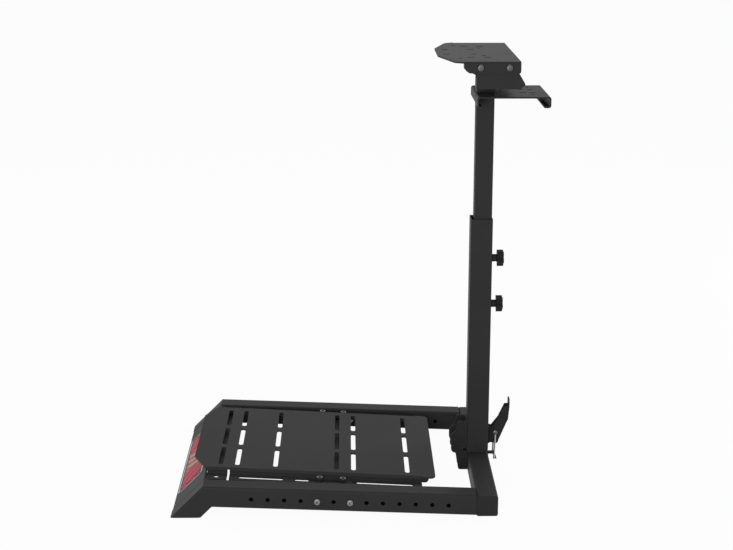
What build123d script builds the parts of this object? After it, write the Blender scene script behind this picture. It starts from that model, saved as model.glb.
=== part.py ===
"""Racing wheel stand: tilted base frame, pedal tray, folding telescopic post, shifter plate, wheel plate.

Millimetres. +X points to the driver, +Y to the far side, +Z up. The floor is Z = 0.
"""
import math
import os

from build123d import *

# Flats that stand for a round where a small form repeats
SIDES = 12

# Base frame of square tube
HALF_WIDTH = 240.0
TUBE = 40.0
WALL = 2.0
TUBE_ROUND = 4.0
FOOT_FRONT = -352.0
LEG_TILT = 45.0
RAIL_TILT = 2.215
RAIL_END_Z = 21.5
BAR_LEFT = 215.0

# Row of bolt holes in each rail
HOLE_R = 4.25
HOLE_COUNT = 13
HOLE_FIRST = -201.7
HOLE_PITCH = 30.42
HOLE_DROP = 1.6

# End caps of the rear bar
CAP_FLANGE = 2.0
CAP_PLUG = 12.0
CAP_WALL = 2.5
CAP_FIT = 0.2

# Front panel, folded from sheet
PANEL = 2.0
PANEL_BACK = 0.3
PANEL_LIFT = 0.6
PANEL_FOOT = 26.0
PANEL_BEND = 4.0

# Pedal tray, drawn flat about its middle and then tilted
SHEET = 3.0
BEND = 3.5
TRAY_MID_X, TRAY_MID_Z = -88.0, 59.0
TRAY_TILT = 3.1
TRAY_FRONT, TRAY_REAR = -229.0, 231.5
TRAY_HALF_WIDTH = 165.5
TRAY_NOSE_X, TRAY_NOSE_Y = 25.0, 55.0
TRAY_CORNER = 12.0
TRAY_STRIP = 12.0
LIP_DROP = 14.0
LIP_OUT = 194.0
LIP_CORNER = 6.0
TAB_FRONT, TAB_REAR = -200.0, -162.0
LIP_FRONT, LIP_REAR = -158.0, 206.0
FLANGE_REAR = 218.5
FLANGE_CORNER = 7.0

# Slots of the tray
TRAY_COLUMNS = (-176.6, -145.4, -72.9, 43.4, 75.9, 178.7)
TRAY_ROW_PITCH = 103.7
TRAY_SLOT_LENGTH, TRAY_SLOT_WIDTH = 87.0, 9.0
LIP_SLOTS = ((-188.0, -176.0), (-141.0, -55.0), (-36.0, 60.0), (72.0, 190.0))
LIP_SLOT_Y = 179.5
LIP_SLOT_WIDTH = 10.5

# Cross channels under the tray
CHANNEL_WIDTH = 16.0
CHANNEL_DEPTH = 10.0
CHANNEL_WALL = 2.0
CHANNEL_BEND = 2.5
CHANNEL_GAP = 3.0

# Angle brackets between rails and tray
BRACKET_FRONT, BRACKET_REAR = -9.0, 83.0
BRACKET_DROP = 42.0
BRACKET_SHELF = 168.0
BRACKET_HOLES = (4, 6)
LIP_BOLTS = (12.4, 56.3)
BOLT_R = 3.3

# Post of two square tubes
POST = 42.0
POST_LEFT = 213.5
POST_LOW, POST_TOP = 45.0, 513.5
POST_WALL = 1.5
POST_FLOOR = 3.0
POST_ROUND = 3.0
MAST = 34.0
MAST_WALL = 1.5
MAST_ROUND = 2.5
MAST_FIT = 0.2
MAST_LOW = 225.0

# Height clamp
KNOB_HEIGHTS = (433.3, 341.7)
SCREW_R = 4.0
SCREW_GAP = 0.3
BOSS_R = 7.3
BOSS_LENGTH = 8.0
KNOB_START = 11.0
KNOB_DEPTH = 12.3
KNOB_LOBES = 5
KNOB_R, KNOB_VALLEY, KNOB_LOBE = 16.5, 4.5, 5.2
KNOB_EDGE = 1.2

# Fold hinge
PIVOT_X, PIVOT_Z = 190.0, 47.0
PIVOT_R = 4.0
RUNNING = 0.05
EYE_R = 8.0
CHEEK = 4.0
CHEEK_GAP = 0.5
HINGE_INNER = 12.0
HINGE_WEB = 3.0
HINGE_TOP, HINGE_LEAF_LOW = 104.7, 50.0
HINGE_BASE_TOP, HINGE_BASE_LOW = 38.0, 1.5
EYE_INSET, EYE_RISE, EYE_FALL = 1.0, 3.0, 2.0
NECK_X, NECK_Z, NECK_ROUND = 2.0, 12.0, 6.0
TOE_ROUND = 5.0
LOBE_X, LOBE_TOP, LOBE_LOW = 180.0, 76.0, 60.0
LOBE_ROUND, LOBE_HEEL = 6.0, 4.0
LEAF_TOP_X, LEAF_ROUND = 5.0, 4.0
PIN_HEAD_R, PIN_HEAD = 6.0, 2.0

# Toggle latch: lever pin on the base, wire bail on the lever, catch on the rear bar
LEVER_X, LEVER_Z = 270.5, 60.5
LEVER_PIN_R = 2.5
LEVER_EYE = 6.0
LEVER_SHEET = 2.2
LEVER_INNER = 8.2
LEVER_HEEL_X, LEVER_HEEL_Z = 262.1, 86.2
LEVER_NECK_X, LEVER_NECK_Z = 276.2, 104.8
LEVER_KNEE_X, LEVER_KNEE_Z = 293.5, 102.6
LEVER_TOP_X, LEVER_TOP_Z = 297.2, 132.0
LEVER_HEAD = 8.7
LEVER_CHIN = 4.0
LEVER_STEP_X, LEVER_STEP_Z = 1.3, 1.6
LEVER_HEAD_ROUND, LEVER_NECK_ROUND, LEVER_HEEL_ROUND = 2.0, 6.0, 3.0
TAB_TOP, TAB_ROUND = 147.0, 4.0
LATCH_PLATE = 2.5
LATCH_HALF = 12.5
LATCH_LOW, LATCH_TOP = 55.5, 90.0
EAR_REACH = 9.5
EAR_R = 5.5
EAR_CROOK, EAR_ROUND = 2.0, 3.0
EAR_GAP = 0.5
EAR_SHEET = 2.5
RIVET_R, RIVET = 4.2, 1.5
WIRE_R = 1.75
BAIL_X, BAIL_Z = 269.8, 79.3
BAIL_HALF = 15.0
BAIL_LENGTH = 56.0
BAIL_LEAN = 1.8
BAIL_TIP = 11.0
BAIL_BEND = 2.8
CATCH_HALF = 6.0
CATCH_SHEET = 2.5
CATCH_FOOT, CATCH_TOP = 8.0, 33.0
CATCH_REACH = 14.2
CATCH_LIP_X, CATCH_LIP_Z = 3.9, 12.0
CATCH_BEND = 2.0

# Shifter plate
SHIFT_LEFT, SHIFT_RIGHT = 216.5, 352.0
SHIFT_HALF = 77.0
SHIFT_DROP, SHIFT_DEPTH = 73.6, 20.7
SHIFT_RETURN_LEFT, SHIFT_RETURN_RIGHT = 8.5, 12.5
SHIFT_BEND = 3.0
SHIFT_SLOTS_X = (306.0, 323.5)
SHIFT_SLOTS_Y = 20.0
SHIFT_SLOT_LENGTH, SHIFT_SLOT_WIDTH = 12.0, 6.0
SHIFT_HOLE_X, SHIFT_HOLE_Y, SHIFT_HOLE_R = 321.0, 46.0, 3.0

# Wheel plate
WHEEL_TOP = 830.0
WHEEL_HALF = 153.0
WHEEL_RIGHT = 286.5
WHEEL_NOSE_X, WHEEL_NOSE_Y, WHEEL_NOSE_ROUND = 144.0, 54.0, 16.0
WHEEL_SIDE_X, WHEEL_SIDE_Y, WHEEL_SIDE_ROUND = 168.5, 144.0, 9.0
WHEEL_CORNER_X = 182.0
WHEEL_BACK_ROUND = 4.0
WHEEL_FLANGE_LEFT, WHEEL_FLANGE_DROP = 185.7, 20.5
WHEEL_FLANGE_ROUND, WHEEL_FLANGE_HEEL = 13.0, 3.0
WHEEL_SLOTS = ((201.5, 86.0), (232.0, 86.0), (161.5, 37.0), (211.0, 37.0))
WHEEL_SLOT_LENGTH, WHEEL_SLOT_WIDTH = 14.0, 7.0
WHEEL_HOLES = ((182.0, 97.5), (228.0, 59.0))
WHEEL_HOLE_R = 4.0
FLANGE_BOLTS = (214.5, 265.8)
FLANGE_BOLT_DROP = 10.6

# Bracket between mast and wheel plate
BRACKET_HEIGHT = 49.0
BRACKET_LEFT, BRACKET_RIGHT = 208.0, 296.0
BRACKET_SHOULDER_X, BRACKET_SHOULDER_DROP = 199.0, 19.0
BRACKET_SHOULDER_ROUND = 8.0
BRACKET_BACK_X, BRACKET_BACK_DROP, BRACKET_BACK_ROUND = 284.2, 22.0, 6.0
BRACKET_HEEL_X, BRACKET_HEEL_Z, BRACKET_HEEL_ROUND = 10.0, 7.5, 4.0
BRACKET_TOP_GAP = 3.0
BRACKET_RETURN = 26.0
BRACKET_BEND = 4.5

# Places that follow from the values above
RAIL_INNER = HALF_WIDTH - TUBE
BAR_RIGHT = BAR_LEFT + TUBE
POST_RIGHT = POST_LEFT + POST
MAST_RIGHT = POST_RIGHT - POST_WALL - MAST_FIT
MAST_LEFT = MAST_RIGHT - MAST
SHIFT_TOP = WHEEL_TOP - SHIFT_DROP
SHIFT_LOW = SHIFT_TOP - SHIFT_DEPTH
WHEEL_FLANGE_LOW = WHEEL_TOP - WHEEL_FLANGE_DROP
FLANGE_BOLT_Z = WHEEL_TOP - FLANGE_BOLT_DROP
BRACKET_LOW = WHEEL_TOP - BRACKET_HEIGHT
BRACKET_SHOULDER_Z = WHEEL_TOP - BRACKET_SHOULDER_DROP
BRACKET_BACK_Z = WHEEL_TOP - BRACKET_BACK_DROP
MAST_TOP = BRACKET_LOW
LEVER_OUTER = LEVER_INNER + LEVER_SHEET
EAR_OUTER = LEVER_INNER - EAR_GAP
WHEEL_INNER = WHEEL_HALF - SHEET
SPAN = 1000.0


def block(x0, x1, y0, y1, z0, z1):
    """Box between two corners."""
    middle = ((x0 + x1) / 2, (y0 + y1) / 2, (z0 + z1) / 2)
    return Pos(*middle) * Box(x1 - x0, y1 - y0, z1 - z0)


def rod_x(y, z, radius, x0, x1):
    """Cylinder along X."""
    return Pos((x0 + x1) / 2, y, z) * Rot(0, 90, 0) * Cylinder(radius, x1 - x0)


def rod_y(x, z, radius, y0, y1):
    """Cylinder along Y."""
    return Pos(x, (y0 + y1) / 2, z) * Rot(90, 0, 0) * Cylinder(radius, y1 - y0)


def profile(corners):
    """Flat face from corners (u, v, radius); each corner is rounded by its own radius."""
    face = make_face(Polyline(*[(u, v) for u, v, radius in corners], close=True))
    for u, v, radius in corners:
        if radius:
            face = fillet(face.vertices().sort_by_distance((u, v))[0], radius)
    return face


def folded(points, bend, thickness):
    """Section of a folded sheet whose middle line runs through the points."""
    return trace(FilletPolyline(*points, radius=bend), thickness)


def along_x(face, x0, x1):
    """Solid from a section drawn in Y and Z, between two places along X."""
    return Pos(x0, 0, 0) * (Plane.YZ * extrude(face, amount=x1 - x0, dir=(0, 0, 1)))


def along_y(face, y0, y1):
    """Solid from a section drawn in X and Z, between two places along Y."""
    return Pos(0, y1, 0) * (Plane.XZ * extrude(face, amount=y1 - y0, dir=(0, 0, 1)))


def along_z(face, z0, z1):
    """Solid from a section drawn in X and Y, between two heights."""
    return Pos(0, 0, z0) * extrude(face, amount=z1 - z0, dir=(0, 0, 1))


def pair(side, a, b):
    """Two places across the middle plane, on the near side for -1 and the far side for 1."""
    return sorted((side * a, side * b))


def slot_cut(x, y, length, width, turn, z0, z1):
    """Upright cutter for a round-ended slot, turned about its middle."""
    return Pos(x, y, 0) * along_z(SlotOverall(length, width, rotation=turn), z0, z1)


def many_slot_cut(x, y, length, width, turn, z0, z1):
    """Upright cutter for one of many like slots, with ends of a few flats to keep their faces few."""
    end = RegularPolygon(width / 2, SIDES)
    reach = (length - width) / 2
    slot = make_hull((Pos(-reach, 0) * end).edges() + (Pos(reach, 0) * end).edges())
    return Pos(x, y, 0) * Rot(0, 0, turn) * along_z(slot, z0, z1)


def rail_axis(x):
    """Height of a rail's middle line."""
    return RAIL_END_Z + (BAR_LEFT - x) * math.tan(math.radians(RAIL_TILT))


def rail_hole(i):
    """Middle of a rail hole in X and Z."""
    x = HOLE_FIRST + i * HOLE_PITCH
    return x, rail_axis(x) - HOLE_DROP


def leg_point(along, depth):
    """Point in X and Z, measured up the front of the leg from the floor and square behind it."""
    c, s = math.cos(math.radians(LEG_TILT)), math.sin(math.radians(LEG_TILT))
    return FOOT_FRONT + along * c + depth * s, along * s - depth * c


def leg_reach(depth, lift):
    """Distance up the leg to where a line behind its front meets a line over the rail's middle."""
    c, s = math.cos(math.radians(LEG_TILT)), math.sin(math.radians(LEG_TILT))
    slope = math.tan(math.radians(RAIL_TILT))
    x, z = leg_point(0, depth)
    return (rail_axis(x) + lift / math.cos(math.radians(RAIL_TILT)) - z) / (s + c * slope)


def on_tray(shape):
    """Piece drawn on the flat tray, set at the tray's tilt and place."""
    return Pos(TRAY_MID_X, 0, TRAY_MID_Z) * Rot(0, TRAY_TILT, 0) * shape


def rail_bar(size, corner, foot):
    """Square bar along the leg and the rail with a mitred knee, cut off at the floor and at the rear bar."""
    middle = TUBE / 2
    low_x, low_z = leg_point(-TUBE, middle)
    knee_x, knee_z = leg_point(leg_reach(middle, 0), middle)
    path = Polyline((low_x, 0, low_z), (knee_x, 0, knee_z), (BAR_RIGHT, 0, rail_axis(BAR_RIGHT)))
    start = Plane(origin=path @ 0, x_dir=(0, 1, 0), z_dir=path % 0)
    bar = sweep(start * RectangleRounded(size, size, corner), path=path, transition=Transition.RIGHT)
    return bar & block(-SPAN, BAR_LEFT, -TUBE, TUBE, foot, SPAN)


def side_rail(side):
    """Square-tube rail with its front leg and its row of holes; side is -1 near and 1 far."""
    rail = rail_bar(TUBE, TUBE_ROUND, 0) - rail_bar(TUBE - 2 * WALL, TUBE_ROUND - WALL, WALL)
    for i in range(HOLE_COUNT):
        x, z = rail_hole(i)
        rail -= along_y(Pos(x, z) * RegularPolygon(HOLE_R, SIDES), -TUBE, TUBE)
    return Pos(0, side * (HALF_WIDTH - TUBE / 2), 0) * rail


def front_member():
    """Slanted front panel between the legs, with a foot folded back along the floor."""
    depth = PANEL_BACK + PANEL / 2
    low_z = PANEL_LIFT + PANEL / 2
    low_x = leg_point(0, depth)[0] + (low_z - leg_point(0, depth)[1]) / math.tan(math.radians(LEG_TILT))
    top_x, top_z = leg_point(leg_reach(depth, TUBE / 2 - depth), depth)
    line = [(low_x + PANEL_FOOT, low_z), (low_x, low_z), (top_x, top_z)]
    return along_y(folded(line, PANEL_BEND, PANEL), -RAIL_INNER, RAIL_INNER)


def bar_section(size, corner):
    """Section of the rear bar in X and Z, on the floor."""
    return Pos(BAR_LEFT + TUBE / 2, TUBE / 2) * RectangleRounded(size, size, corner)


def rear_bar():
    """Square tube on the floor that carries the post."""
    hollow = bar_section(TUBE - 2 * WALL, TUBE_ROUND - WALL)
    end = HALF_WIDTH - CAP_FLANGE
    return along_y(bar_section(TUBE, TUBE_ROUND) - hollow, -end, end)


def bar_cap(side):
    """Moulded plug in one end of the rear bar: a flange and a hollow skirt."""
    seat = HALF_WIDTH - CAP_FLANGE
    skirt = TUBE - 2 * WALL - 2 * CAP_FIT
    cap = along_y(bar_section(TUBE, TUBE_ROUND), *pair(side, seat, HALF_WIDTH))
    rim = cap.faces().sort_by(Axis.Y)[0 if side < 0 else -1].edges()
    cap = chamfer(rim, CAP_FLANGE / 2)
    ring = bar_section(skirt, TUBE_ROUND - WALL)
    ring -= bar_section(skirt - 2 * CAP_WALL, TUBE_ROUND - WALL)
    return cap + along_y(ring, *pair(side, seat - CAP_PLUG, seat))


def tray_fold(side, x0, x1):
    """Strip of the tray's side: edge of the plate, flange and lip, bent from one sheet."""
    half = SHEET / 2
    wall, shelf = TRAY_HALF_WIDTH - half, half - LIP_DROP
    line = [(side * (TRAY_HALF_WIDTH - TRAY_STRIP), -half), (side * wall, -half), (side * wall, shelf),
            (side * LIP_OUT, shelf)]
    return along_x(folded(line, BEND, SHEET), x0, x1)


def pedal_tray():
    """Hat-section tray: slotted plate with a slanted nose, flanges and slotted lips."""
    b = TRAY_HALF_WIDTH
    nose_x, nose_y = TRAY_FRONT + TRAY_NOSE_X, b - TRAY_NOSE_Y
    outline = [(TRAY_FRONT, -nose_y, TRAY_CORNER), (nose_x, -b, TRAY_CORNER), (TRAY_REAR, -b, TRAY_CORNER),
               (TRAY_REAR, b, TRAY_CORNER), (nose_x, b, TRAY_CORNER), (TRAY_FRONT, nose_y, TRAY_CORNER)]
    tray = along_z(profile(outline), -SHEET, 0)
    flange = [(LIP_REAR, -SHEET, 0), (LIP_REAR, SHEET - LIP_DROP, 0),
              (FLANGE_REAR, SHEET - LIP_DROP, FLANGE_CORNER), (FLANGE_REAR, -SHEET, 0)]
    for side in (-1, 1):
        for x0, x1 in ((TAB_FRONT, TAB_REAR), (LIP_FRONT, LIP_REAR)):
            tray -= block(x0, x1, *pair(side, b - TRAY_STRIP, b + SHEET), -SHEET, 0)
            tray += tray_fold(side, x0, x1)
        tray += along_y(profile(flange), *pair(side, b - SHEET, b))
        for x0, x1 in LIP_SLOTS:
            middle, length = (x0 + x1) / 2, x1 - x0
            tray -= many_slot_cut(middle, side * LIP_SLOT_Y, length, LIP_SLOT_WIDTH, 0, -2 * LIP_DROP, -SHEET)
    uprights = tray.edges().filter_by(Axis.Z)
    tray = fillet([e for e in uprights if abs(abs(e.center().Y) - LIP_OUT) < RUNNING], LIP_CORNER)
    for x in TRAY_COLUMNS:
        for row in (-1, 0, 1):
            y = row * TRAY_ROW_PITCH
            tray -= many_slot_cut(x, y, TRAY_SLOT_LENGTH, TRAY_SLOT_WIDTH, 90, -2 * SHEET, SHEET)
    return on_tray(tray)


def tray_channel(x):
    """Stiffening channel welded under one column of the tray's slots."""
    wall = CHANNEL_WIDTH / 2 - CHANNEL_WALL / 2
    floor = CHANNEL_WALL / 2 - SHEET - CHANNEL_DEPTH
    line = [(x - wall, -SHEET), (x - wall, floor), (x + wall, floor), (x + wall, -SHEET)]
    end = TRAY_HALF_WIDTH - SHEET - CHANNEL_GAP
    return on_tray(along_y(folded(line, CHANNEL_BEND, CHANNEL_WALL), -end, end))


def tray_bracket(side):
    """Angle bracket bolted to a rail's inner face, with a shelf under the tray's lip."""
    wall, shelf = RAIL_INNER - SHEET / 2, -LIP_DROP - SHEET / 2
    line = [(side * BRACKET_SHELF, shelf), (side * wall, shelf), (side * wall, -BRACKET_DROP)]
    bracket = along_x(folded(line, BEND, SHEET), BRACKET_FRONT, BRACKET_REAR)
    for x in LIP_BOLTS:
        bracket -= Pos(x, side * LIP_SLOT_Y, shelf) * Cylinder(BOLT_R, 3 * SHEET)
    bracket = on_tray(bracket)
    for i in BRACKET_HOLES:
        bracket -= rod_y(*rail_hole(i), HOLE_R, *pair(side, RAIL_INNER - 2 * SHEET, RAIL_INNER + SHEET))
    return bracket


def hinge_base():
    """Lower hinge leaf on the rear bar: web and two cheeks with eyes for the pin."""
    outer = HINGE_INNER + CHEEK
    leaf = block(BAR_LEFT - HINGE_WEB, BAR_LEFT, -outer, outer, HINGE_BASE_LOW, HINGE_BASE_TOP)
    toe = PIVOT_X + EYE_R - EYE_INSET
    outline = [(PIVOT_X - EYE_R + EYE_INSET, PIVOT_Z - EYE_FALL, 0),
               (PIVOT_X + NECK_X, PIVOT_Z - NECK_Z, NECK_ROUND), (toe, HINGE_BASE_LOW, TOE_ROUND),
               (BAR_LEFT, HINGE_BASE_LOW, 0), (BAR_LEFT, HINGE_BASE_TOP, 0), (toe, PIVOT_Z + EYE_RISE, 0)]
    cheek = profile(outline) + Pos(PIVOT_X, PIVOT_Z) * Circle(EYE_R)
    for side in (-1, 1):
        leaf += along_y(cheek, *pair(side, HINGE_INNER, outer))
    return leaf - rod_y(PIVOT_X, PIVOT_Z, PIVOT_R + RUNNING, -SPAN, SPAN)


def hinge_leaf():
    """Upper hinge leaf on the post: web and two cheeks with a stop lobe above the eye."""
    inner = HINGE_INNER + CHEEK + CHEEK_GAP
    outer = inner + CHEEK
    leaf = block(POST_LEFT - HINGE_WEB, POST_LEFT, -outer, outer, HINGE_LEAF_LOW, HINGE_TOP)
    reach = EYE_R - EYE_INSET
    outline = [(PIVOT_X - reach, PIVOT_Z + EYE_RISE, 0), (PIVOT_X + reach, PIVOT_Z - EYE_RISE, 0),
               (POST_LEFT, HINGE_LEAF_LOW, 0), (POST_LEFT, HINGE_TOP, 0),
               (PIVOT_X + LEAF_TOP_X, HINGE_TOP, LEAF_ROUND), (PIVOT_X, LOBE_TOP + EYE_R, LOBE_ROUND),
               (LOBE_X, LOBE_TOP, LOBE_ROUND), (LOBE_X, LOBE_LOW, LOBE_HEEL)]
    cheek = profile(outline) + Pos(PIVOT_X, PIVOT_Z) * Circle(EYE_R)
    for side in (-1, 1):
        leaf += along_y(cheek, *pair(side, inner, outer))
    return leaf - rod_y(PIVOT_X, PIVOT_Z, PIVOT_R + RUNNING, -SPAN, SPAN)


def hinge_pin():
    """Headed pin of the fold hinge."""
    seat = HINGE_INNER + 2 * CHEEK + 2 * CHEEK_GAP
    pin = rod_y(PIVOT_X, PIVOT_Z, PIVOT_R, -seat, seat)
    for side in (-1, 1):
        pin += rod_y(PIVOT_X, PIVOT_Z, PIN_HEAD_R, *pair(side, seat, seat + PIN_HEAD))
    return pin


def post_section(left, size, corner):
    """Section of a post tube in X and Y."""
    return Pos(left + size / 2, 0) * RectangleRounded(size, size, corner)


def lower_tube():
    """Outer post tube with a closed foot, open at the top, with holes for the clamp screws."""
    hollow = post_section(POST_LEFT + POST_WALL, POST - 2 * POST_WALL, POST_ROUND - POST_WALL)
    tube = along_z(post_section(POST_LEFT, POST, POST_ROUND), POST_LOW, POST_TOP)
    tube -= along_z(hollow, POST_LOW + POST_FLOOR, POST_TOP)
    for z in KNOB_HEIGHTS:
        tube -= rod_x(0, z, SCREW_R + RUNNING, POST_RIGHT - 2 * POST_WALL, POST_RIGHT + POST_WALL)
    return tube


def upper_tube():
    """Inner post tube that slides in the outer one."""
    hollow = post_section(MAST_LEFT + MAST_WALL, MAST - 2 * MAST_WALL, MAST_ROUND - MAST_WALL)
    return along_z(post_section(MAST_LEFT, MAST, MAST_ROUND) - hollow, MAST_LOW, MAST_TOP)


def clamp_boss(z):
    """Welded nut for a clamp screw."""
    boss = rod_x(0, z, BOSS_R, POST_RIGHT, POST_RIGHT + BOSS_LENGTH)
    return boss - rod_x(0, z, SCREW_R + RUNNING, POST_RIGHT - BOSS_LENGTH, POST_RIGHT + 2 * BOSS_LENGTH)


def polar(reach, turn):
    """Point at a distance from the middle, turned from straight down."""
    return reach * math.sin(turn), -reach * math.cos(turn)


def lobed_face():
    """Knob outline of lobes and hollows, as arcs that run smoothly into each other.

    The hollow's radius follows from the two circles touching: their middles lie the sum of their radii apart.
    """
    step = math.pi / KNOB_LOBES
    valley, far = KNOB_R - KNOB_VALLEY, KNOB_R - KNOB_LOBE
    near = far * math.cos(step)
    hollow = (far**2 + valley**2 - 2 * near * valley - KNOB_LOBE**2) / (2 * (KNOB_LOBE - valley + near))
    share = KNOB_LOBE / (KNOB_LOBE + hollow)
    along = far + share * ((valley + hollow) * math.cos(step) - far)
    across = share * (valley + hollow) * math.sin(step)
    reach, turn = math.hypot(along, across), math.atan2(across, along)
    arcs = []
    for i in range(KNOB_LOBES):
        lobe = 2 * i * step
        start, end, following = lobe - turn, lobe + turn, lobe + 2 * step - turn
        arcs.append(ThreePointArc(polar(reach, start), polar(KNOB_R, lobe), polar(reach, end)))
        arcs.append(ThreePointArc(polar(reach, end), polar(valley, lobe + step), polar(reach, following)))
    return make_face(arcs)


def clamp_knob(z):
    """Hand knob: lobed head with one lobe down, collar and screw."""
    head = along_z(lobed_face(), 0, KNOB_DEPTH)
    head = chamfer(head.faces().sort_by(Axis.Z)[-1].edges(), KNOB_EDGE)
    knob = Pos(POST_RIGHT + KNOB_START, 0, z) * (Plane.YZ * head)
    knob += rod_x(0, z, BOSS_R, POST_RIGHT + BOSS_LENGTH + SCREW_GAP, POST_RIGHT + KNOB_START)
    return knob + rod_x(0, z, SCREW_R, MAST_RIGHT + SCREW_GAP, POST_RIGHT + KNOB_START)


def latch_base():
    """Latch plate on the post with two ears and the lever's riveted pin."""
    plate = block(POST_RIGHT, POST_RIGHT + LATCH_PLATE, -LATCH_HALF, LATCH_HALF, LATCH_LOW, LATCH_TOP)
    reach = POST_RIGHT + EAR_REACH
    outline = [(POST_RIGHT, LATCH_LOW, 0), (LEVER_X, LEVER_Z - EAR_R, 0), (LEVER_X, LEVER_Z + EAR_R, 0),
               (reach, LEVER_Z + 2 * EAR_R, EAR_CROOK), (reach, LATCH_TOP - LATCH_PLATE, EAR_ROUND),
               (POST_RIGHT, LATCH_TOP, 0)]
    ear = profile(outline) + Pos(LEVER_X, LEVER_Z) * Circle(EAR_R)
    for side in (-1, 1):
        plate += along_y(ear, *pair(side, EAR_OUTER - EAR_SHEET, EAR_OUTER))
        head = LEVER_OUTER + SCREW_GAP
        plate += rod_y(LEVER_X, LEVER_Z, RIVET_R, *pair(side, head, head + RIVET))
    return plate + rod_y(LEVER_X, LEVER_Z, LEVER_PIN_R, -LEVER_OUTER - RIVET, LEVER_OUTER + RIVET)


def latch_lever():
    """Folded lever: two dog-leg cheeks joined by a web along their outer edge, and a finger tab."""
    eye = LEVER_EYE - SCREW_GAP
    knee_x, knee_z = LEVER_KNEE_X + LEVER_STEP_X, LEVER_KNEE_Z + LEVER_STEP_Z
    outline = [(LEVER_X - eye, LEVER_Z, 0), (LEVER_X + LEVER_CHIN, LEVER_Z - LEVER_CHIN, 0),
               (LEVER_KNEE_X, LEVER_KNEE_Z, 0), (knee_x, knee_z, 0), (LEVER_TOP_X, LEVER_TOP_Z, 0),
               (LEVER_TOP_X - LEVER_HEAD, LEVER_TOP_Z, LEVER_HEAD_ROUND),
               (LEVER_NECK_X, LEVER_NECK_Z, LEVER_NECK_ROUND), (LEVER_HEEL_X, LEVER_HEEL_Z, LEVER_HEEL_ROUND)]
    cheek = profile(outline) + Pos(LEVER_X, LEVER_Z) * Circle(LEVER_EYE)
    tab = [(knee_x - LEVER_SHEET, knee_z, 0), (knee_x, knee_z, 0), (LEVER_TOP_X, LEVER_TOP_Z, 0),
           (LEVER_TOP_X, TAB_TOP, 0), (LEVER_TOP_X - LEVER_SHEET, TAB_TOP, 0),
           (LEVER_TOP_X - LEVER_SHEET, LEVER_TOP_Z, 0)]
    lever = along_y(profile(tab), -LEVER_OUTER, LEVER_OUTER)
    corners = lever.edges().filter_by(Axis.X).sort_by(Axis.Z)[-2:]
    lever = fillet(corners, TAB_ROUND)
    for side in (-1, 1):
        lever += along_y(cheek, *pair(side, LEVER_INNER, LEVER_OUTER))
    lever -= rod_y(LEVER_X, LEVER_Z, LEVER_PIN_R + RUNNING, -SPAN, SPAN)
    return lever - rod_y(BAIL_X, BAIL_Z, WIRE_R + RUNNING, -SPAN, SPAN)


def latch_bail():
    """Wire bail through the lever's cheeks, with a leg down each side of the catch."""
    lean = math.radians(BAIL_LEAN)
    plane = Plane(origin=(BAIL_X, 0, BAIL_Z), x_dir=(0, 1, 0), z_dir=(math.cos(lean), 0, -math.sin(lean)))
    end, half = -BAIL_LENGTH, BAIL_HALF
    line = FilletPolyline((-BAIL_TIP, end), (-half, end), (-half, 0), (half, 0), (half, end), (BAIL_TIP, end),
                          radius=BAIL_BEND)
    wire = plane * line
    return sweep(Plane(origin=wire @ 0, z_dir=wire % 0) * RegularPolygon(WIRE_R, SIDES), path=wire)


def latch_catch():
    """Folded hook on the rear bar."""
    half = CATCH_SHEET / 2
    top, nose = CATCH_TOP - half, BAR_RIGHT + CATCH_REACH
    line = [(BAR_RIGHT + half, CATCH_FOOT), (BAR_RIGHT + half, top), (nose, top),
            (nose + CATCH_LIP_X, top - CATCH_LIP_Z)]
    return along_y(folded(line, CATCH_BEND, CATCH_SHEET), -CATCH_HALF, CATCH_HALF)


def shifter_plate():
    """Plate folded down at both ends with a return lip, welded round the mast."""
    half = SHEET / 2
    left, right, top, low = SHIFT_LEFT + half, SHIFT_RIGHT - half, SHIFT_TOP - half, SHIFT_LOW + half
    line = [(SHIFT_LEFT + SHIFT_RETURN_LEFT, low), (left, low), (left, top), (right, top), (right, low),
            (SHIFT_RIGHT - SHIFT_RETURN_RIGHT, low)]
    plate = along_y(folded(line, SHIFT_BEND, SHEET), -SHIFT_HALF, SHIFT_HALF)
    plate -= along_z(post_section(MAST_LEFT, MAST, MAST_ROUND), SHIFT_LOW - SHEET, SHIFT_TOP + SHEET)
    z0, z1 = SHIFT_TOP - 2 * SHEET, SHIFT_TOP + SHEET
    for side in (-1, 1):
        for x in SHIFT_SLOTS_X:
            plate -= slot_cut(x, side * SHIFT_SLOTS_Y, SHIFT_SLOT_LENGTH, SHIFT_SLOT_WIDTH, 0, z0, z1)
        plate -= Pos(SHIFT_HOLE_X, side * SHIFT_HOLE_Y, SHIFT_TOP) * Cylinder(SHIFT_HOLE_R, 3 * SHEET)
    return plate


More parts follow.
